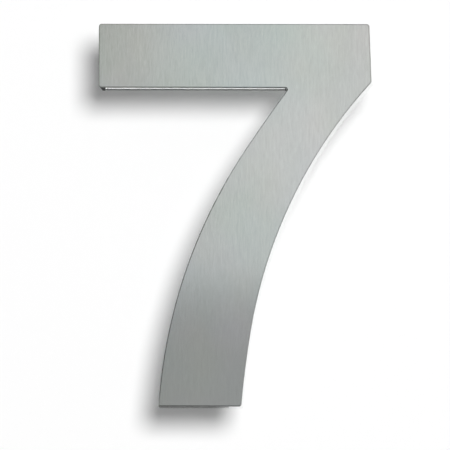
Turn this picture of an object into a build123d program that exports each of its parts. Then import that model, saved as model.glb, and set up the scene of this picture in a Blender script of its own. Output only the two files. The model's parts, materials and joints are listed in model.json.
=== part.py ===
from build123d import *
from math import cos, radians, sin, tan
import os

# House number seven, built up from brushed stainless sheet and held off the wall on spacers.
# A flat face plate is cut to the outline of the digit. A strip, the return, is bent round that
# outline, welded to the back of the plate and ground flush, so the back of the digit is open.
# Three threaded bosses stand on the back of the plate. Each takes a stud with a thread at both
# ends, and a spacer slipped over the plain middle of the stud keeps the digit clear of the wall.
#
# Frame: millimetres, +Z up, the face looks along -Y. The wall is the plane Y = 0. The origin is
# on the wall, on the axis of the left stud, which sits halfway up the bar of the digit.

os.makedirs("parts", exist_ok=True)

# Outline of the digit
digit_height = 150.0
digit_width = 107.0
bar_height = 25.1
bar_end_height = 22.8  # right end of the bar, from the top down to the outer curve of the stem
bar_end_slant = 1.0  # how far the right end leans out on the way down
arm_length = 74.6  # underside of the bar, from its left end to the inner corner
foot_inset = 24.3  # left end of the bar to the left corner of the foot
foot_width = 32.5

# Inner curve of the stem, from the foot up: an arc that runs on into a much flatter one
inner_lean = 3.3  # degrees off upright at the foot
inner_radius = 204.0
inner_sweep = 30.4  # degrees

# Outer curve of the stem, from the foot up: a flat arc that runs on into a rounder one
outer_lean = 4.6
outer_radius = 380.0
outer_sweep = 4.6

# Sheet metal
face_sheet = 1.5
return_sheet = 0.8
digit_depth = 15.0  # front of the face plate to the rim of the return
bend_inside_radius = 0.3
inner_corner_radius = 0.7  # seen from outside, in the corner under the bar
front_edge_radius = 0.4

# Fixings
stud_inset = 12.4  # left and right ends of the bar to the stud axes
foot_stud_height = 16.0  # foot of the digit to the axis of the lower stud
stud_diameter = 4.0
stud_shank_diameter = 3.5  # plain middle of the stud, between its two threads
stud_grip = 10.0  # length screwed into the boss
stud_reach = 28.0  # length beyond the wall face
stud_chamfer = 0.5
thread_clearance = 0.05  # on the radius, stud to boss
boss_diameter = 9.0
boss_mouth_chamfer = 0.4
spacer_diameter = 8.0
spacer_length = 12.0
spacer_clearance = 0.2  # on the radius, stud to spacer
spacer_chamfer = 0.3

# Places worked out from the sizes above, in the plane of the wall
bar_left = -stud_inset
bar_right = bar_left + digit_width
bar_top = bar_height / 2
bar_bottom = -bar_height / 2
foot_level = bar_top - digit_height
foot_left = bar_left + foot_inset
foot_right = foot_left + foot_width
foot_stud_x = (foot_left + foot_right) / 2 + foot_stud_height * tan(
    radians((inner_lean + outer_lean) / 2)
)
fixing_places = {
    "left": (0.0, 0.0),
    "right": (bar_right - stud_inset, 0.0),
    "foot": (foot_stud_x, foot_level + foot_stud_height),
}

# Levels worked out from the sizes above, as distances out from the wall
rim_level = spacer_length
plate_level = rim_level + digit_depth - face_sheet
return_depth = plate_level - rim_level


def climbing(lean):
    """Direction of a side of the stem at the foot, leaning to the right of upright."""
    return (sin(radians(lean)), cos(radians(lean)))


def off_wall(place, level):
    """Plane across a fixing, at a distance out from the wall, facing back towards the wall."""
    x, z = place
    return Plane(origin=(x, -level, z), x_dir=(1, 0, 0), z_dir=(0, 1, 0))


# Digit outline, drawn once and used by both sheet pieces
with BuildSketch() as digit:
    bar_end_corner = (bar_right, bar_top - bar_end_height)
    inner_corner = (bar_left + arm_length, bar_bottom)
    with BuildLine():
        inner_low = JernArc((foot_left, foot_level), climbing(inner_lean), inner_radius, -inner_sweep)
        TangentArc(inner_low @ 1, inner_corner, tangent=inner_low % 1)
        Polyline(
            inner_corner,
            (bar_left, bar_bottom),
            (bar_left, bar_top),
            (bar_right - bar_end_slant, bar_top),
            bar_end_corner,
        )
        outer_low = JernArc((foot_right, foot_level), climbing(outer_lean), outer_radius, -outer_sweep)
        TangentArc(outer_low @ 1, bar_end_corner, tangent=outer_low % 1)
        Line((foot_left, foot_level), (foot_right, foot_level))
    make_face()
    # The strip starts and ends at the left corner of the foot, so that corner stays sharp
    bar_corners = digit.vertices().group_by(Axis.Y)[-1] + digit.vertices().sort_by_distance(
        (bar_left, bar_bottom)
    )[:1]
    end_corners = [
        digit.vertices().sort_by_distance(bar_end_corner)[0],
        digit.vertices().sort_by_distance((foot_right, foot_level))[0],
    ]
    fillet(bar_corners + end_corners, radius=bend_inside_radius + return_sheet)
    fillet(digit.vertices().sort_by_distance(inner_corner)[0], radius=inner_corner_radius)

# Face plate
with BuildPart() as face_plate:
    with BuildSketch(Plane.XZ.offset(plate_level)):
        add(digit.sketch)
    extrude(amount=face_sheet)
    fillet(face_plate.faces().sort_by(Axis.Y)[0].edges(), radius=front_edge_radius)
face_plate.part.label = "face_plate"
export_step(face_plate.part, "parts/face_plate.step")

# Return, the strip bent round the outline
with BuildPart() as return_band:
    with BuildSketch(Plane.XZ.offset(rim_level)):
        add(digit.sketch)
        offset(amount=-return_sheet, kind=Kind.INTERSECTION, mode=Mode.SUBTRACT)
    extrude(amount=return_depth)
return_band.part.label = "return_band"
export_step(return_band.part, "parts/return_band.step")


def make_stud_boss(side, place):
    """Tapped boss that stands on the back of the face plate and ends level with the rim."""
    with BuildPart() as stud_boss:
        with BuildSketch(off_wall(place, plate_level)):
            Circle(boss_diameter / 2)
        extrude(amount=return_depth)
        with Locations(off_wall(place, rim_level)):
            Hole(radius=stud_diameter / 2 + thread_clearance, depth=stud_grip)
        mouth = stud_boss.faces().sort_by(Axis.Y)[-1].edges().sort_by(SortBy.RADIUS)[0]
        chamfer(mouth, length=boss_mouth_chamfer)
    stud_boss.part.label = f"stud_boss_{side}"
    export_step(stud_boss.part, f"parts/stud_boss_{side}.step")


def make_wall_stud(side, place):
    """Stud threaded at both ends, which bottoms in its boss and reaches into the wall."""
    with BuildPart() as wall_stud:
        with BuildSketch(off_wall(place, rim_level + stud_grip)):
            Circle(stud_diameter / 2)
        extrude(amount=stud_grip + spacer_length + stud_reach)
        chamfer(wall_stud.edges().filter_by(GeomType.CIRCLE), length=stud_chamfer)
        with BuildSketch(off_wall(place, rim_level)):
            Circle(stud_diameter / 2)
            Circle(stud_shank_diameter / 2, mode=Mode.SUBTRACT)
        extrude(amount=spacer_length, mode=Mode.SUBTRACT)
    wall_stud.part.label = f"wall_stud_{side}"
    export_step(wall_stud.part, f"parts/wall_stud_{side}.step")


def make_spacer_sleeve(side, place):
    """Turned tube between the boss and the wall."""
    with BuildPart() as spacer_sleeve:
        with BuildSketch(off_wall(place, rim_level)):
            Circle(spacer_diameter / 2)
            Circle(stud_diameter / 2 + spacer_clearance, mode=Mode.SUBTRACT)
        extrude(amount=spacer_length)
        outer_rims = spacer_sleeve.edges().filter_by(GeomType.CIRCLE).group_by(SortBy.RADIUS)[-1]
        chamfer(outer_rims, length=spacer_chamfer)
    spacer_sleeve.part.label = f"spacer_sleeve_{side}"
    export_step(spacer_sleeve.part, f"parts/spacer_sleeve_{side}.step")


for side, place in fixing_places.items():
    make_stud_boss(side, place)
    make_wall_stud(side, place)
    make_spacer_sleeve(side, place)
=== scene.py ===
import json
from math import cos, pi, radians, sin

import bpy
import numpy as np
from mathutils import Matrix, Vector
from mathutils.geometry import tessellate_polygon


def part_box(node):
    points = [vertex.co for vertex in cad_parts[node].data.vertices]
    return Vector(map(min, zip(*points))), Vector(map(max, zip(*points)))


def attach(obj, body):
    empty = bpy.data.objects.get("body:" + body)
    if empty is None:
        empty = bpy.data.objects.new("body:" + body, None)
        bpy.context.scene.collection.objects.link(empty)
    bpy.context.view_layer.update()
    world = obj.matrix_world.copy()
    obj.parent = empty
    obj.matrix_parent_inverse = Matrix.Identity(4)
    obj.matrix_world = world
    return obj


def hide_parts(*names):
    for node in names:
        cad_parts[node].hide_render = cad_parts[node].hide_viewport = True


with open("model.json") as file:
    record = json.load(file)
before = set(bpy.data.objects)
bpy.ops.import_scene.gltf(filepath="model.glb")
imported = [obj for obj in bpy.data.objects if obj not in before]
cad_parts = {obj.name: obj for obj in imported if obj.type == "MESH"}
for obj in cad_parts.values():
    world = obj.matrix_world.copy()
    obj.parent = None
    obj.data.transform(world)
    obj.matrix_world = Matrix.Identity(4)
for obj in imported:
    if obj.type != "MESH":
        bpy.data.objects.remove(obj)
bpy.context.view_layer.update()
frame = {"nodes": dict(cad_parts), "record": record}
nodes = frame["nodes"]
scene = bpy.context.scene

# Places and sizes of the part, in metres: +Z up, the face looks along -Y, the wall is Y = 0
FACE_MIDDLE = sum((Vector(corner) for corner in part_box("face_plate")), Vector()) / 2
FIXINGS = {
    mount["name"].removeprefix("stud_"): (mount["pos_m"][0], mount["pos_m"][2])
    for mount in frame["record"]["mounts"] if mount["kind"] == "pin"
}
PLATE_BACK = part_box("face_plate")[1][1]
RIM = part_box("return_band")[1][1]

# Camera: degrees to the right of the face, below it and rolled, then distance, lens and aim
CAMERA_RIGHT = radians(3.2)
CAMERA_BELOW = radians(4.27)
CAMERA_ROLL = radians(0.36)
CAMERA_DISTANCE = 6.0
CAMERA_LENS = 1227.9
CAMERA_SENSOR = 36.0
CAMERA_CLIP = (0.05, 20.0)
CAMERA_AIM = Vector((0.03755, -0.027, -0.06643))

# Wall and floor
WALL_Y = 0.0001
WALL_HALF = 1.5
WALL_TOP = 1.2
FLOOR_LEVEL = -1.2
FLOOR_HALF = 4.0
WALL_COLOUR = (0.86, 0.86, 0.86)
MIRROR_COLOUR = (1.0, 1.0, 1.0)
FLOOR_COLOUR = (0.8, 0.8, 0.79)
WALL_GLOW = 0.10
MIRROR_GLOW = 0.05

# Grey sheets just off the wall, which only reflections see: painted shade in the reflections. They give the
# dark lines under the bar
# and the foot: left, right at the low side, right at the high side, low, high and how light.
SHADE_SHEETS = (
    (-0.020, 0.061, 0.062, -0.01438, -0.01380, 0.28),
    (-0.0170, -0.0114, -0.0114, -0.0200, -0.0126, 0.22),
    (0.0594, 0.0602, 0.0622, -0.0190, -0.0126, 0.15),
    (0.005, 0.0380, 0.0380, -0.1397, -0.1386, 0.48),
)
SHEET_GAP = 0.0001

# Room that lights and reflects: its levels, in each direction from the part and for the wall
ROOM_FRONT = 0.45
ROOM_SIDES = 0.08
ROOM_BACK = 1.0
ROOM_RIGHT = 0.55
ROOM_ABOVE = 0.25
ROOM_BELOW = 0.16
ROOM_ON_WALL = 0.19

# Where each level of the room starts and is full, along one axis of the direction
FRONT_RANGE = (0.50, 0.95)
BACK_RANGE = (0.1, 0.9)
RIGHT_RANGE = (0.05, 0.7)
BESIDE_RANGE = (-0.75, 0.0)
ABOVE_RANGE = (0.35, 0.9)
BELOW_RANGE = (-0.60, -0.28)
MIDDLE_RANGE = (0.20, 0.45)

# Key light, which casts the shadow: a disc
KEY_DIRECTION = (0.268, -1.0, 0.228)
KEY_DISTANCE = 10.0
KEY_SIZE = 4.15
KEY_WATTS = 935.0

# Card that the face reflects
CARD_PLACE = (0.081, -0.317, -0.005)
CARD_SIZE = (0.194, 0.132)
CARD_LEVEL = 0.568

# Second card, low on the left, for the face seen from the right and from above
FILL_PLACE = (-0.34, -0.50, -0.40)
FILL_SIZE = (0.16, 0.30)
FILL_LEVEL = 0.55

# Strip of light on the wall, which the underside of the bar reflects as a bright line
STRIP_PLACE = (0.0245, 0.0, -0.01450)
STRIP_SIZE = (0.0800, 0.0002)
STRIP_LEVEL = 1.7

# Metals: base colour, roughness and anisotropy
FACE_METAL = ((0.611, 0.631, 0.622), 0.25, 0.9)
RETURN_METAL = ((0.53, 0.54, 0.54), 0.05, 0.5)
BOSS_METAL = ((0.58, 0.58, 0.58), 0.32, 0.6)
SPACER_METAL = ((0.64, 0.64, 0.65), 0.26, 0.6)
STUD_METAL = ((0.56, 0.56, 0.57), 0.28, 0.3)
WELD_METAL = ((0.48, 0.46, 0.43), 0.36, 0.0)

# Depth of the grain in metres. The return's mirror-like sides have next to none.
BUMP_STRENGTH = 0.5
FACE_BUMP = 0.00001
RETURN_BUMP = 0.00000003
TURNED_BUMP = 0.000006
STUD_BUMP = 0.00001
WELD_BUMP = 0.00003

# Noises in the metals: features per metre along X, Y and Z, detail, roughness, and which part is used
PATCH = ((28.0, 28.0, 22.0), 2.0, 0.5, (5.3, 1.0, 2.2))
FACE_STREAK = ((1400.0, 1400.0, 170.0), 3.0, 0.55)
FACE_FINE = ((4200.0, 4200.0, 650.0), 2.0, 0.5, (3.1, 0.0, 9.7))
FACE_PATCH_TWO = ((35.0, 35.0, 26.0), 2.0, 0.5, (11.3, 4.0, 7.9))
FACE_CLOUD = ((70.0, 70.0, 55.0), 3.0, 0.55, (1.7, 2.0, 4.1))
RETURN_STREAK = ((45.0, 1500.0, 45.0), 3.0, 0.6)
RETURN_FINE = ((110.0, 5000.0, 110.0), 2.0, 0.5, (3.1, 0.0, 9.7))
TURNED_MARKS = ((4200.0, 4200.0, 1.0), 3.0, 0.6)
TURNED_STAIN = ((300.0, 300.0, 300.0), 2.0, 0.5)
STUD_GRAIN = ((2500.0, 2500.0, 2500.0), 3.0, 0.6)
STUD_STAIN = ((260.0, 260.0, 260.0), 2.0, 0.5, (2.0, 5.0, 1.0))
WELD_GRAIN = ((3000.0, 3000.0, 3000.0), 3.0, 0.6)
WELD_HEAT = ((420.0, 420.0, 420.0), 2.0, 0.5, (7.0, 3.0, 2.0))

# How much each noise changes the colour, as a share of it
FACE_STREAK_COLOUR = 0.17
FACE_FINE_COLOUR = 0.20
FACE_CLOUD_COLOUR = 0.07
FACE_PATCH_COLOUR = 0.14
FACE_PATCH_TWO_COLOUR = 0.10
RETURN_STREAK_COLOUR = 0.45
RETURN_FINE_COLOUR = 0.25
RETURN_PATCH_COLOUR = 0.05
TURNED_MARKS_COLOUR = 0.22
TURNED_STAIN_COLOUR = 0.08
STUD_GRAIN_COLOUR = 0.20
STUD_STAIN_COLOUR = 0.12
WELD_GRAIN_COLOUR = 0.35
WELD_HEAT_COLOUR = 0.9

# How much each noise changes the roughness
FACE_FINE_ROUGH = 0.06
FACE_PATCH_ROUGH = 0.03
RETURN_FINE_ROUGH = 0.02
TURNED_MARKS_ROUGH = 0.15
STUD_GRAIN_ROUGH = 0.15
WELD_GRAIN_ROUGH = 0.25

# Keeps what lies in the plane of the face
IN_FACE = (1.0, 0.0, 1.0)

# Tints of the shifts in colour
WHITE = (1.0, 1.0, 1.0)
COOL = (-0.055, 0.004, -0.018)
OLIVE = (0.0, 0.004, -0.035)
# Painted light: lighter grey for patches where the face reflects more light
PAINTED_LIGHT = (0.045, 0.045, 0.045)
PATCH_GREEN = (-1.0, 0.3, -0.6)
PATCH_STRAW = (0.6, 0.1, -1.0)
TURNED_STRAW = (0.5, 0.1, -0.8)
STUD_STRAW = (0.4, 0.1, -0.8)
HEAT_STRAW = (0.5, 0.15, -0.6)

# Faint stains of the face (cool and olive) and patches of painted light (lighter grey): middle (x, z) and
# radius
COOL_AREAS = ((0.040, 0.000, 0.040), (0.045, -0.080, 0.038))
PAINTED_LIGHT_AREAS = (
    (0.062, -0.034, 0.032), (0.042, -0.134, 0.040), (0.0185, 0.012, 0.028), (0.071, 0.011, 0.020),
    (0.046, -0.104, 0.018),
)
OLIVE_AREAS = ((-0.006, 0.002, 0.022), (0.088, 0.000, 0.030))
AREA_FLAT_SHARE = 0.25

# Grain of the face, which is weaker at the foot: height and strength where the change starts and ends
GRAIN_AT_FOOT = (-0.12, 0.60)
GRAIN_ABOVE = (-0.05, 1.1)

# Painted shade on the front edge, darker where it looks down and left: which way it looks, where the
# darkening starts and is full, and how much
PAINTED_SHADE_DIRECTION = (-0.42, 0.0, -0.907)
PAINTED_SHADE_RANGE = (0.10, 0.50)
PAINTED_SHADE_SHIFT = -0.84

# Studs
SHARP_ANGLE = radians(40)
STUD_RADIUS = 0.0020
SHANK_RADIUS = 0.00175
STUD_INNER_END = -0.022
STUD_OUTER_END = 0.028
STUD_CHAMFER = 0.0005
STUD_COLUMNS = 32
THREAD_PITCH = 0.0007
THREAD_DEPTH = 0.00043
THREAD_CREST = 0.15
THREAD_FLANK = 0.6
THREAD_RUN_OUT = 0.0006
THREAD_ROWS = 9
SHANK_ROWS = 5

# Welds: a bead's section, the ripples along it, and the stitches along the return
WELD_LEG = 0.0010
WELD_SUNK = 0.0001
WELD_ROUNDING = ((0.93, 0.35), (0.68, 0.68), (0.35, 0.93))
WELD_CORNERS = 3 + len(WELD_ROUNDING)
WELD_SHARP_ANGLE = radians(60)
BOSS_RADIUS = 0.0045
BOSS_BEAD_RINGS = 180
BOSS_BEAD_RIPPLES = 45
RIPPLE_SIZE = 0.10
BOSS_BEAD_SWELL = 0.06
BOSS_BEAD_SWELLS = 3
BOSS_BEAD_PHASE = 2.1
STITCH_LENGTH = 0.009
STITCH_GAP = 0.013
STITCH_CLEAR = 0.004
STITCH_STEP = 0.001
STITCH_RINGS = 60
STITCH_RIPPLES = 13
STITCH_END_SIZE = 0.25
STITCH_END_SHARE = 1 / 8
BEND_TURN = 0.15

# Reading the outlines: grid of the corner keys, level tolerance in its steps, and what is flat
GRID = 1e6
LEVEL_STEPS = 20
FLAT_NORMAL = 0.9


# Node helpers

def add_node(tree, kind, inputs=None, **settings):
    """One node, with its settings and its inputs: a socket is linked, any other value is set."""
    made = tree.nodes.new(kind)
    for key, value in settings.items():
        setattr(made, key, value)
    for key, value in (inputs or {}).items():
        if isinstance(value, bpy.types.NodeSocket):
            tree.links.new(value, made.inputs[key])
        else:
            made.inputs[key].default_value = value
    return made


def maths(tree, operation, *values):
    made = add_node(tree, "ShaderNodeMath", dict(enumerate(values)), operation=operation)
    return made.outputs[0]


def vector_maths(tree, operation, *values):
    made = add_node(tree, "ShaderNodeVectorMath", dict(enumerate(values)), operation=operation)
    return made.outputs[0]


def ramp(tree, value, low, high, to_low, to_high):
    """A value mapped smoothly from one range to another, held at the ends."""
    made = add_node(
        tree, "ShaderNodeMapRange",
        {"Value": value, "From Min": low, "From Max": high, "To Min": to_low, "To Max": to_high},
        interpolation_type="SMOOTHSTEP", clamp=True,
    )
    return made.outputs["Result"]


def noise(tree, place, per_metre, detail, roughness, offset=(0.0, 0.0, 0.0)):
    """Noise from 0 to 1, with so many features per metre along X, Y and Z. The offset picks its part."""
    stretched = vector_maths(tree, "MULTIPLY_ADD", place, per_metre, offset)
    made = add_node(
        tree, "ShaderNodeTexNoise",
        {"Vector": stretched, "Scale": 1.0, "Detail": detail, "Roughness": roughness},
        noise_dimensions="3D",
    )
    return made.outputs[0]


# Outlines, read from the mesh of the return

def loop_area(loop):
    after = np.roll(loop, -1, axis=0)
    return float((loop[:, 0] * after[:, 1] - after[:, 0] * loop[:, 1]).sum() / 2)


def return_outlines(level):
    """Points (x, z) round the inside and round the outside of the return at one of its two ends."""
    mesh = nodes["return_band"].data
    keys = [tuple(round(c * GRID) for c in v.co) for v in mesh.vertices]
    uses = {}
    for polygon in mesh.polygons:
        flat = abs(polygon.normal.y) > FLAT_NORMAL
        loop = [keys[v] for v in polygon.vertices]
        for a, b in zip(loop, loop[1:] + loop[:1]):
            if a != b and all(abs(key[1] - level * GRID) < LEVEL_STEPS for key in (a, b)):
                uses.setdefault(frozenset((a, b)), []).append(flat)
    links = {}
    for edge, flats in uses.items():
        if True in flats and False in flats:
            a, b = edge
            links.setdefault(a, []).append(b)
            links.setdefault(b, []).append(a)
    loops = []
    left = set(links)
    while left:
        here = start = min(left)
        loop, last = [start], None
        while True:
            following = [k for k in sorted(links[here]) if k != last]
            last, here = here, following[0]
            if here == start:
                break
            loop.append(here)
        left -= set(loop)
        loops.append(np.array([(k[0] / GRID, k[2] / GRID) for k in loop]))
    inner, outer = sorted(loops, key=lambda loop: abs(loop_area(loop)))
    return tuple(loop if loop_area(loop) > 0 else loop[::-1] for loop in (inner, outer))


# Camera

def place_camera():
    """Camera at the photograph's angle, far off and with a long lens."""
    back = Vector((
        sin(CAMERA_RIGHT) * cos(CAMERA_BELOW),
        -cos(CAMERA_RIGHT) * cos(CAMERA_BELOW),
        -sin(CAMERA_BELOW),
    ))
    right = Vector((cos(CAMERA_RIGHT), sin(CAMERA_RIGHT), 0.0))
    up = back.cross(right)
    rolled_right = cos(CAMERA_ROLL) * right + sin(CAMERA_ROLL) * up
    rolled_up = cos(CAMERA_ROLL) * up - sin(CAMERA_ROLL) * right
    data = bpy.data.cameras.new("camera")
    data.lens = CAMERA_LENS
    data.sensor_width = CAMERA_SENSOR
    data.clip_start, data.clip_end = CAMERA_CLIP
    camera = bpy.data.objects.new("camera", data)
    scene.collection.objects.link(camera)
    axes = Matrix((rolled_right, rolled_up, back)).transposed()
    camera.matrix_world = Matrix.Translation(CAMERA_AIM + back * CAMERA_DISTANCE) @ axes.to_4x4()
    scene.camera = camera


# Stage: a white wall that shows from the front only, and a pale floor that shows from above

def stage_mesh(name, corners, faces, material):
    """A flat mesh that belongs to the stage and not to the part."""
    mesh = bpy.data.meshes.new(name)
    mesh.from_pydata(corners, [], faces)
    made = bpy.data.objects.new(name, mesh)
    scene.collection.objects.link(made)
    mesh.materials.append(material)
    return made


def stage_plane(name, corners, material):
    return stage_mesh(name, corners, [(0, 1, 2, 3)], material)


def only_reflected(made):
    """Hide a stage mesh from all but reflections."""
    made.visible_camera = made.visible_diffuse = made.visible_shadow = False
    made.visible_transmission = False


def plain_material(name, colour, glow=0.0):
    """Matt and one-sided: clear from behind, with an even glow of its own if asked."""
    material = bpy.data.materials.new(name)
    material.use_nodes = True
    tree = material.node_tree
    tree.nodes.clear()
    shader = add_node(tree, "ShaderNodeBsdfDiffuse", {"Color": (*colour, 1.0), "Roughness": 0.0})
    surface = shader.outputs[0]
    if glow:
        shine = add_node(tree, "ShaderNodeEmission", {"Color": (*WHITE, 1.0), "Strength": glow})
        surface = add_node(tree, "ShaderNodeAddShader", {0: surface, 1: shine.outputs[0]}).outputs[0]
    clear = add_node(tree, "ShaderNodeBsdfTransparent")
    back = add_node(tree, "ShaderNodeNewGeometry").outputs["Backfacing"]
    surface = add_node(tree, "ShaderNodeMixShader", {0: back, 1: surface, 2: clear.outputs[0]}).outputs[0]
    add_node(tree, "ShaderNodeOutputMaterial", {"Surface": surface})
    return material


def build_stage():
    wall = stage_plane(
        "wall",
        [
            (-WALL_HALF, WALL_Y, FLOOR_LEVEL), (WALL_HALF, WALL_Y, FLOOR_LEVEL),
            (WALL_HALF, WALL_Y, WALL_TOP), (-WALL_HALF, WALL_Y, WALL_TOP),
        ],
        plain_material("wall_white", WALL_COLOUR, glow=WALL_GLOW),
    )
    wall.visible_shadow = wall.visible_diffuse = wall.visible_glossy = False
    wall.visible_transmission = False
    build_wall_mirror(plain_material("wall_mirrored", MIRROR_COLOUR, glow=MIRROR_GLOW))
    build_shade_sheets()
    floor = stage_plane(
        "floor",
        [
            (-FLOOR_HALF, -FLOOR_HALF, FLOOR_LEVEL), (FLOOR_HALF, -FLOOR_HALF, FLOOR_LEVEL),
            (FLOOR_HALF, FLOOR_HALF, FLOOR_LEVEL), (-FLOOR_HALF, FLOOR_HALF, FLOOR_LEVEL),
        ],
        plain_material("floor_pale", FLOOR_COLOUR),
    )
    floor.visible_glossy = floor.visible_diffuse = False


def build_shade_sheets():
    """Grey sheets in front of the wall, one behind another, which only reflections see: painted shade in
    the reflections.
    """
    for number, (left, low_right, high_right, low, high, level) in enumerate(SHADE_SHEETS):
        y = -SHEET_GAP * (1 + number)
        sheet = stage_plane(
            f"sheet_{number}",
            [(left, y, low), (low_right, y, low), (high_right, y, high), (left, y, high)],
            plain_material(f"shade_sheet_grey_{number}", (level, level, level)),
        )
        only_reflected(sheet)


def build_wall_mirror(material):
    """The same wall as reflections see it: open behind the digit, so its hollow back stays bright."""
    _, outline = return_outlines(RIM)
    square = [
        (-WALL_HALF, -WALL_HALF), (WALL_HALF, -WALL_HALF), (WALL_HALF, WALL_HALF), (-WALL_HALF, WALL_HALF)
    ]
    loops = [[Vector((x, z, 0.0)) for x, z in loop] for loop in (square, outline)]
    corners = loops[0] + loops[1]
    triangles = []
    for a, b, c in tessellate_polygon(loops):
        turn = (corners[b] - corners[a]).cross(corners[c] - corners[a]).z
        triangles.append((a, b, c) if turn > 0 else (a, c, b))
    only_reflected(stage_mesh("wall_mirror", [(x, WALL_Y, z) for x, z, _ in corners], triangles, material))


# World: plain white behind everything, and a soft room for what lights and reflects

def build_world():
    """The room's level changes with direction. It differs for the camera, the wall and the metal."""
    world = bpy.data.worlds.new("studio")
    scene.world = world
    world.use_nodes = True
    tree = world.node_tree
    tree.nodes.clear()
    direction = add_node(tree, "ShaderNodeTexCoord").outputs["Generated"]
    x, y, z = add_node(tree, "ShaderNodeSeparateXYZ", {0: direction}).outputs[:3]
    front = ramp(tree, maths(tree, "MULTIPLY", y, -1.0), *FRONT_RANGE, ROOM_SIDES, ROOM_FRONT)
    back = ramp(tree, y, *BACK_RANGE, 0.0, ROOM_BACK)
    right = ramp(tree, x, *RIGHT_RANGE, 0.0, ROOM_RIGHT)
    beside = ramp(tree, y, *BESIDE_RANGE, 0.0, 1.0)
    above = ramp(tree, z, *ABOVE_RANGE, 0.0, ROOM_ABOVE)
    level = maths(tree, "ADD", maths(tree, "ADD", front, back), maths(tree, "MULTIPLY", right, beside))
    level = maths(tree, "ADD", level, above)
    below = ramp(tree, z, *BELOW_RANGE, 1.0, 0.0)
    middle = ramp(tree, maths(tree, "ABSOLUTE", x), *MIDDLE_RANGE, 1.0, 0.0)
    level = add_node(
        tree, "ShaderNodeMix", {0: maths(tree, "MULTIPLY", below, middle), 2: level, 3: ROOM_BELOW}
    ).outputs[0]
    path = add_node(tree, "ShaderNodeLightPath")
    level = add_node(
        tree, "ShaderNodeMix", {0: path.outputs["Is Diffuse Ray"], 2: level, 3: ROOM_ON_WALL}
    ).outputs[0]
    room = add_node(tree, "ShaderNodeBackground", {"Color": (*WHITE, 1.0), "Strength": level})
    seen = add_node(tree, "ShaderNodeBackground", {"Color": (*WHITE, 1.0), "Strength": 1.0})
    both = add_node(
        tree, "ShaderNodeMixShader",
        {0: path.outputs["Is Camera Ray"], 1: room.outputs[0], 2: seen.outputs[0]},
    )
    add_node(tree, "ShaderNodeOutputWorld", {"Surface": both.outputs[0]})


# Lights

def area_light(name, place, direction, size, watts, glossy=True, diffuse=True):
    """A soft light at a place, which shines against its direction and isn't seen itself."""
    data = bpy.data.lights.new(name, "AREA")
    data.shape = "RECTANGLE" if isinstance(size, tuple) else "DISK"
    if isinstance(size, tuple):
        data.size, data.size_y = size
    else:
        data.size = size
    data.energy = watts
    light = bpy.data.objects.new(name, data)
    scene.collection.objects.link(light)
    light.location = place
    light.rotation_mode = "QUATERNION"
    light.rotation_quaternion = Vector(direction).to_track_quat("Z", "Y")
    light.visible_camera = False
    light.visible_glossy = glossy
    light.visible_diffuse = diffuse


def reflected_card(name, place, direction, size, level):
    """A rectangle of light that only reflections see, as bright as its level."""
    area_light(name, place, direction, size, level * pi * size[0] * size[1], diffuse=False)


def build_lights():
    towards_key = Vector(KEY_DIRECTION).normalized()
    area_light(
        "key", FACE_MIDDLE + towards_key * KEY_DISTANCE, towards_key, KEY_SIZE, KEY_WATTS, glossy=False
    )
    reflected_card("card", CARD_PLACE, (0, -1, 0), CARD_SIZE, CARD_LEVEL)
    reflected_card("fill", FILL_PLACE, Vector(FILL_PLACE) - FACE_MIDDLE, FILL_SIZE, FILL_LEVEL)
    reflected_card("strip", STRIP_PLACE, (0, 1, 0), STRIP_SIZE, STRIP_LEVEL)


# Materials

def metal(name, looks, build, **facts):
    """A metal whose colour, roughness, bump and tangent come from its own build function."""
    base, rough, aniso = looks
    material = bpy.data.materials.new(name)
    material.use_nodes = True
    tree = material.node_tree
    tree.nodes.clear()
    place = add_node(tree, "ShaderNodeTexCoord").outputs["Object"]
    shader = add_node(tree, "ShaderNodeBsdfPrincipled", {"Metallic": 1.0, "Anisotropic": aniso})
    build(tree, place, shader, base, rough, **facts)
    add_node(tree, "ShaderNodeOutputMaterial", {"Surface": shader.outputs[0]})
    return material


def facing_front(tree):
    """How far the surface faces along Y, from 0 on a side to 1 on the front or back."""
    normal = add_node(tree, "ShaderNodeNewGeometry").outputs["Normal"]
    across = add_node(tree, "ShaderNodeSeparateXYZ", {0: normal}).outputs["Y"]
    return maths(tree, "ABSOLUTE", across)


def facing(tree, direction):
    """How far the surface faces one way: 1 straight that way and -1 straight away from it."""
    normal = add_node(tree, "ShaderNodeNewGeometry").outputs["Normal"]
    made = add_node(tree, "ShaderNodeVectorMath", {0: normal, 1: direction}, operation="DOT_PRODUCT")
    return made.outputs["Value"]


def shade(tree, base, *shifts):
    """Base colour times one plus the sum of small shifts, each a socket around zero and its tint."""
    colour = WHITE
    for socket, tint in shifts:
        part = add_node(tree, "ShaderNodeVectorMath", {0: tint, "Scale": socket}, operation="SCALE")
        colour = vector_maths(tree, "ADD", part.outputs[0], colour)
    return vector_maths(tree, "MULTIPLY", colour, base)


def centred(tree, socket, amount):
    """A 0 to 1 noise turned into one around zero."""
    return maths(tree, "MULTIPLY", maths(tree, "SUBTRACT", socket, 0.5), amount)


def area(tree, place, x, z, radius):
    """A soft round area of the face: 1 in its middle and 0 from its radius on."""
    offset = vector_maths(tree, "SUBTRACT", place, (x, 0.0, z))
    flat = vector_maths(tree, "MULTIPLY", offset, IN_FACE)
    out = add_node(tree, "ShaderNodeVectorMath", {0: flat}, operation="LENGTH").outputs["Value"]
    return ramp(tree, out, AREA_FLAT_SHARE * radius, radius, 1.0, 0.0)


def finish_surface(tree, shader, colour, rough, height, depth, tangent):
    """Link what a metal's build function made, with bump of a depth in metres."""
    bump = add_node(
        tree, "ShaderNodeBump", {"Height": height, "Strength": BUMP_STRENGTH, "Distance": depth}
    )
    made = {"Base Color": colour, "Roughness": rough, "Normal": bump.outputs[0], "Tangent": tangent}
    for name, socket in made.items():
        tree.links.new(socket, shader.inputs[name])


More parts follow.
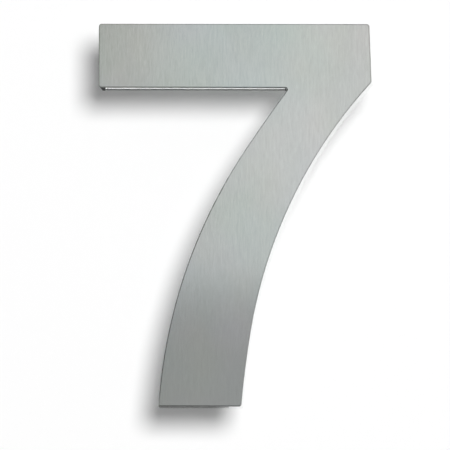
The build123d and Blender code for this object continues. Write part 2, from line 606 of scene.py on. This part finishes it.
def along_y(tree):
    """Tangent along Y, out from the wall."""
    return add_node(tree, "ShaderNodeCombineXYZ", {1: 1.0}).outputs[0]


def grain_across(tree):
    """Tangent across the grain: X on the front and back, and along Y on the sides."""
    front = facing_front(tree)
    return add_node(
        tree, "ShaderNodeCombineXYZ", {0: front, 1: maths(tree, "SUBTRACT", 1.0, front)}
    ).outputs[0]


def brushed_face(tree, place, shader, base, rough):
    """Upright grain, soft patches and stains, patches of painted light, and painted shade on the front
    edge.
    """
    streak = noise(tree, place, *FACE_STREAK)
    fine = noise(tree, place, *FACE_FINE)
    patch = noise(tree, place, *PATCH)
    patch_two = noise(tree, place, *FACE_PATCH_TWO)
    cloud = noise(tree, place, *FACE_CLOUD)
    height = add_node(tree, "ShaderNodeSeparateXYZ", {0: place}).outputs["Z"]
    low, weak = GRAIN_AT_FOOT
    high, full = GRAIN_ABOVE
    strength = ramp(tree, height, low, high, weak, full)
    colour = shade(
        tree, base,
        (maths(tree, "MULTIPLY", centred(tree, streak, FACE_STREAK_COLOUR), strength), WHITE),
        (maths(tree, "MULTIPLY", centred(tree, fine, FACE_FINE_COLOUR), strength), WHITE),
        (maths(tree, "MULTIPLY", centred(tree, cloud, FACE_CLOUD_COLOUR), strength), WHITE),
        (centred(tree, patch, FACE_PATCH_COLOUR), PATCH_GREEN),
        (centred(tree, patch_two, FACE_PATCH_TWO_COLOUR), PATCH_STRAW),
        *((area(tree, place, *cool), COOL) for cool in COOL_AREAS),
        *((area(tree, place, *olive), OLIVE) for olive in OLIVE_AREAS),
        # Patches of painted light: lighter grey where the face reflects more light
        *((area(tree, place, *light), PAINTED_LIGHT) for light in PAINTED_LIGHT_AREAS),
        # Painted shade: the front rounding darker where it looks down and left
        (ramp(tree, facing(tree, PAINTED_SHADE_DIRECTION), *PAINTED_SHADE_RANGE, 0.0, PAINTED_SHADE_SHIFT), WHITE),
    )
    level = maths(tree, "ADD", centred(tree, fine, FACE_FINE_ROUGH), rough)
    level = maths(tree, "ADD", centred(tree, patch, FACE_PATCH_ROUGH), level)
    finish_surface(tree, shader, colour, level, fine, FACE_BUMP, grain_across(tree))


def brushed_return(tree, place, shader, base, rough):
    """Grain along the strip: slow changes along its length and quick ones across its width."""
    streak = noise(tree, place, *RETURN_STREAK)
    fine = noise(tree, place, *RETURN_FINE)
    patch = noise(tree, place, *PATCH)
    colour = shade(
        tree, base,
        (centred(tree, streak, RETURN_STREAK_COLOUR), WHITE),
        (centred(tree, fine, RETURN_FINE_COLOUR), WHITE),
        (centred(tree, patch, RETURN_PATCH_COLOUR), PATCH_STRAW),
    )
    level = maths(tree, "ADD", centred(tree, fine, RETURN_FINE_ROUGH), rough)
    finish_surface(tree, shader, colour, level, fine, RETURN_BUMP, along_y(tree))


def turned(tree, place, shader, base, rough, centre):
    """Lathe marks: rings round the axis on the sides, and round the centre on the ends."""
    offset = vector_maths(tree, "SUBTRACT", place, (centre[0], 0.0, centre[1]))
    flat = vector_maths(tree, "MULTIPLY", offset, IN_FACE)
    out = add_node(tree, "ShaderNodeVectorMath", {0: flat}, operation="LENGTH").outputs["Value"]
    along = add_node(tree, "ShaderNodeSeparateXYZ", {0: offset}).outputs["Y"]
    ring_place = add_node(tree, "ShaderNodeCombineXYZ", {0: out, 1: along}).outputs[0]
    marks = noise(tree, ring_place, *TURNED_MARKS)
    stain = noise(tree, place, *TURNED_STAIN)
    colour = shade(
        tree, base,
        (centred(tree, marks, TURNED_MARKS_COLOUR), WHITE),
        (centred(tree, stain, TURNED_STAIN_COLOUR), TURNED_STRAW),
    )
    level = maths(tree, "ADD", centred(tree, marks, TURNED_MARKS_ROUGH), rough)
    front = facing_front(tree)
    radial = add_node(tree, "ShaderNodeVectorMath", {0: flat}, operation="NORMALIZE").outputs[0]
    on_ends = add_node(tree, "ShaderNodeVectorMath", {0: radial, "Scale": front}, operation="SCALE")
    on_sides = add_node(tree, "ShaderNodeCombineXYZ", {1: maths(tree, "SUBTRACT", 1.0, front)})
    tangent = vector_maths(tree, "ADD", on_ends.outputs[0], on_sides.outputs[0])
    finish_surface(tree, shader, colour, level, marks, TURNED_BUMP, tangent)


def rolled(tree, place, shader, base, rough):
    """Rolled thread: fine dull grain with faint straw stains."""
    grain = noise(tree, place, *STUD_GRAIN)
    stain = noise(tree, place, *STUD_STAIN)
    colour = shade(
        tree, base,
        (centred(tree, grain, STUD_GRAIN_COLOUR), WHITE),
        (centred(tree, stain, STUD_STAIN_COLOUR), STUD_STRAW),
    )
    level = maths(tree, "ADD", centred(tree, grain, STUD_GRAIN_ROUGH), rough)
    finish_surface(tree, shader, colour, level, grain, STUD_BUMP, along_y(tree))


def welded(tree, place, shader, base, rough):
    """Weld metal: a dull skin with straw and blue heat colours."""
    grain = noise(tree, place, *WELD_GRAIN)
    heat = noise(tree, place, *WELD_HEAT)
    colour = shade(
        tree, base,
        (centred(tree, grain, WELD_GRAIN_COLOUR), WHITE),
        (centred(tree, heat, WELD_HEAT_COLOUR), HEAT_STRAW),
    )
    level = maths(tree, "ADD", centred(tree, grain, WELD_GRAIN_ROUGH), rough)
    finish_surface(tree, shader, colour, level, grain, WELD_BUMP, along_y(tree))


# Pieces

def mesh_piece(name, vertices, faces, material, sharp=SHARP_ANGLE):
    """A smooth-shaded mesh that rides on the part."""
    mesh = bpy.data.meshes.new(name)
    mesh.from_pydata([tuple(v) for v in vertices], [], faces)
    mesh.polygons.foreach_set("use_smooth", [True] * len(mesh.polygons))
    mesh.set_sharp_from_angle(angle=sharp)
    mesh.materials.append(material)
    mesh.update()
    made = bpy.data.objects.new(name, mesh)
    scene.collection.objects.link(made)
    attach(made, "root")
    return made


def lathe_rows(rows, columns):
    """Faces of a grid of rings, closed at both ends by a fan on the two last vertices."""
    faces = []
    for row in range(rows - 1):
        for column in range(columns):
            after = (column + 1) % columns
            a, b = row * columns + column, row * columns + after
            faces.append((a, a + columns, b + columns, b))
    first, last = rows * columns, rows * columns + 1
    for column in range(columns):
        after = (column + 1) % columns
        faces.append((first, column, after))
        top = (rows - 1) * columns
        faces.append((last, top + after, top + column))
    return faces


def stud_radius(y, turn):
    """Radius of the stud at a place along it and a share of a turn round it."""
    if RIM <= y <= 0.0:
        return SHANK_RADIUS
    wave = abs(((y / THREAD_PITCH - turn) % 1.0) * 2.0 - 1.0)
    groove = min(max((wave - THREAD_CREST) / THREAD_FLANK, 0.0), 1.0)
    groove = groove * groove * (3.0 - 2.0 * groove)
    radius = STUD_RADIUS - THREAD_DEPTH * groove
    from_shank = min(abs(y - RIM), abs(y)) / THREAD_RUN_OUT
    if from_shank < 1.0:
        radius = SHANK_RADIUS + (radius - SHANK_RADIUS) * from_shank
    from_end = min(y - STUD_INNER_END, STUD_OUTER_END - y)
    return min(radius, STUD_RADIUS - STUD_CHAMFER + from_end)


def build_stud(side, place, material):
    """Stud with a thread cut into both ends, which stands for the plain one."""
    step = THREAD_PITCH / THREAD_ROWS
    levels = list(np.arange(STUD_INNER_END, RIM, step)) + list(np.linspace(RIM, 0.0, SHANK_ROWS))
    levels += list(np.arange(step, STUD_OUTER_END, step)) + [STUD_OUTER_END]
    x, z = place
    vertices = []
    for y in levels:
        for column in range(STUD_COLUMNS):
            turn = column / STUD_COLUMNS
            radius = stud_radius(y, turn)
            vertices.append((x + radius * cos(2 * pi * turn), y, z + radius * sin(2 * pi * turn)))
    vertices += [(x, levels[0], z), (x, levels[-1], z)]
    faces = lathe_rows(len(levels), STUD_COLUMNS)
    made = mesh_piece(f"threaded_stud_{side}", vertices, faces, material)
    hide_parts(f"wall_stud_{side}")


def ring_faces(rings, section, closed, start=0):
    """Faces of a swept section: a closed loop of rings, or a run with flat ends."""
    faces = []
    for ring in range(rings if closed else rings - 1):
        after = (ring + 1) % rings
        for corner in range(section):
            beside = (corner + 1) % section
            faces.append(tuple(start + v for v in (
                ring * section + corner, ring * section + beside,
                after * section + beside, after * section + corner,
            )))
    if not closed:
        faces.append(tuple(start + v for v in range(section))[::-1])
        faces.append(tuple(start + (rings - 1) * section + v for v in range(section)))
    return faces


def bead_section(size):
    """Corner weld seen along its run: (out from the standing wall, up from the plate)."""
    leg = WELD_LEG * size
    rounding = [(leg * out, leg * up) for out, up in WELD_ROUNDING]
    return [(-WELD_SUNK, -WELD_SUNK), (leg, -WELD_SUNK), *rounding, (-WELD_SUNK, leg)]


def build_boss_welds(material):
    """A bead round the foot of each boss."""
    vertices, faces = [], []
    for number, (x, z) in enumerate(FIXINGS.values()):
        start = len(vertices)
        for ring in range(BOSS_BEAD_RINGS):
            angle = 2 * pi * ring / BOSS_BEAD_RINGS
            ripple = RIPPLE_SIZE * sin(angle * BOSS_BEAD_RIPPLES)
            swell = BOSS_BEAD_SWELL * sin(angle * BOSS_BEAD_SWELLS + number * BOSS_BEAD_PHASE)
            for out, up in bead_section(1.0 + ripple + swell):
                radius = BOSS_RADIUS + out
                vertices.append((x + radius * cos(angle), PLATE_BACK + up, z + radius * sin(angle)))
        faces += ring_faces(BOSS_BEAD_RINGS, WELD_CORNERS, True, start)
    made = mesh_piece("boss_welds", vertices, faces, material, WELD_SHARP_ANGLE)


def build_return_welds(material):
    """Short welds in the corner between the plate and the return, kept clear of the bends."""
    loop, _ = return_outlines(PLATE_BACK)
    after = np.roll(loop, -1, axis=0)
    lengths = np.linalg.norm(after - loop, axis=1)
    at = np.concatenate([[0.0], np.cumsum(lengths)])
    total = at[-1]
    directions = (after - loop) / lengths[:, None]
    turns = np.abs(np.cross(directions, np.roll(directions, 1, axis=0)))
    bends = [at[i] for i in range(len(loop)) if turns[i] > BEND_TURN]

    def point(s):
        i = int(np.searchsorted(at, s % total, side="right")) - 1
        i = min(i, len(loop) - 1)
        share = (s % total - at[i]) / lengths[i]
        return loop[i] + (after[i] - loop[i]) * share, directions[i]

    def clear(s):
        return all(
            min((s - bend) % total, (bend - s) % total) > STITCH_CLEAR + STITCH_LENGTH / 2 for bend in bends
        )

    vertices, faces = [], []
    s = 0.0
    while s < total:
        if not clear(s):
            s += STITCH_STEP
            continue
        start = len(vertices)
        for ring in range(STITCH_RINGS):
            share = ring / (STITCH_RINGS - 1)
            here, direction = point(s + (share - 0.5) * STITCH_LENGTH)
            inward = np.array((-direction[1], direction[0]))
            rise = min(min(share, 1 - share) / STITCH_END_SHARE, 1.0)
            ripple = RIPPLE_SIZE * sin(share * 2 * pi * STITCH_RIPPLES)
            size = (STITCH_END_SIZE + (1 - STITCH_END_SIZE) * rise) * (1.0 + ripple)
            for out, up in bead_section(size):
                x, z = here + inward * out
                vertices.append((x, PLATE_BACK + up, z))
        faces += ring_faces(STITCH_RINGS, WELD_CORNERS, False, start)
        s += STITCH_LENGTH + STITCH_GAP
    made = mesh_piece("return_welds", vertices, faces, material, WELD_SHARP_ANGLE)


def build_pieces():
    rolled_stud = metal("rolled_stud", STUD_METAL, rolled)
    weld = metal("weld_metal", WELD_METAL, welded)
    for side, place in FIXINGS.items():
        build_stud(side, place, rolled_stud)
    build_boss_welds(weld)
    build_return_welds(weld)


def dress_nodes():
    """Give each CAD solid that shows its metal."""
    dressed = {
        "face_plate": metal("brushed_face", FACE_METAL, brushed_face),
        "return_band": metal("brushed_return", RETURN_METAL, brushed_return),
    }
    for side, place in FIXINGS.items():
        dressed[f"stud_boss_{side}"] = metal(f"turned_boss_{side}", BOSS_METAL, turned, centre=place)
        dressed[f"spacer_sleeve_{side}"] = metal(
            f"turned_spacer_{side}", SPACER_METAL, turned, centre=place
        )
    for name, material in dressed.items():
        nodes[name].data.materials.clear()
        nodes[name].data.materials.append(material)
    # The photo's shadow is an even copy of the face, so the return throws none
    nodes["return_band"].visible_shadow = False


place_camera()
build_stage()
build_world()
build_lights()
dress_nodes()
build_pieces()

scene.view_settings.view_transform = "Standard"
scene.view_settings.look = "None"

bpy.context.view_layer.update()
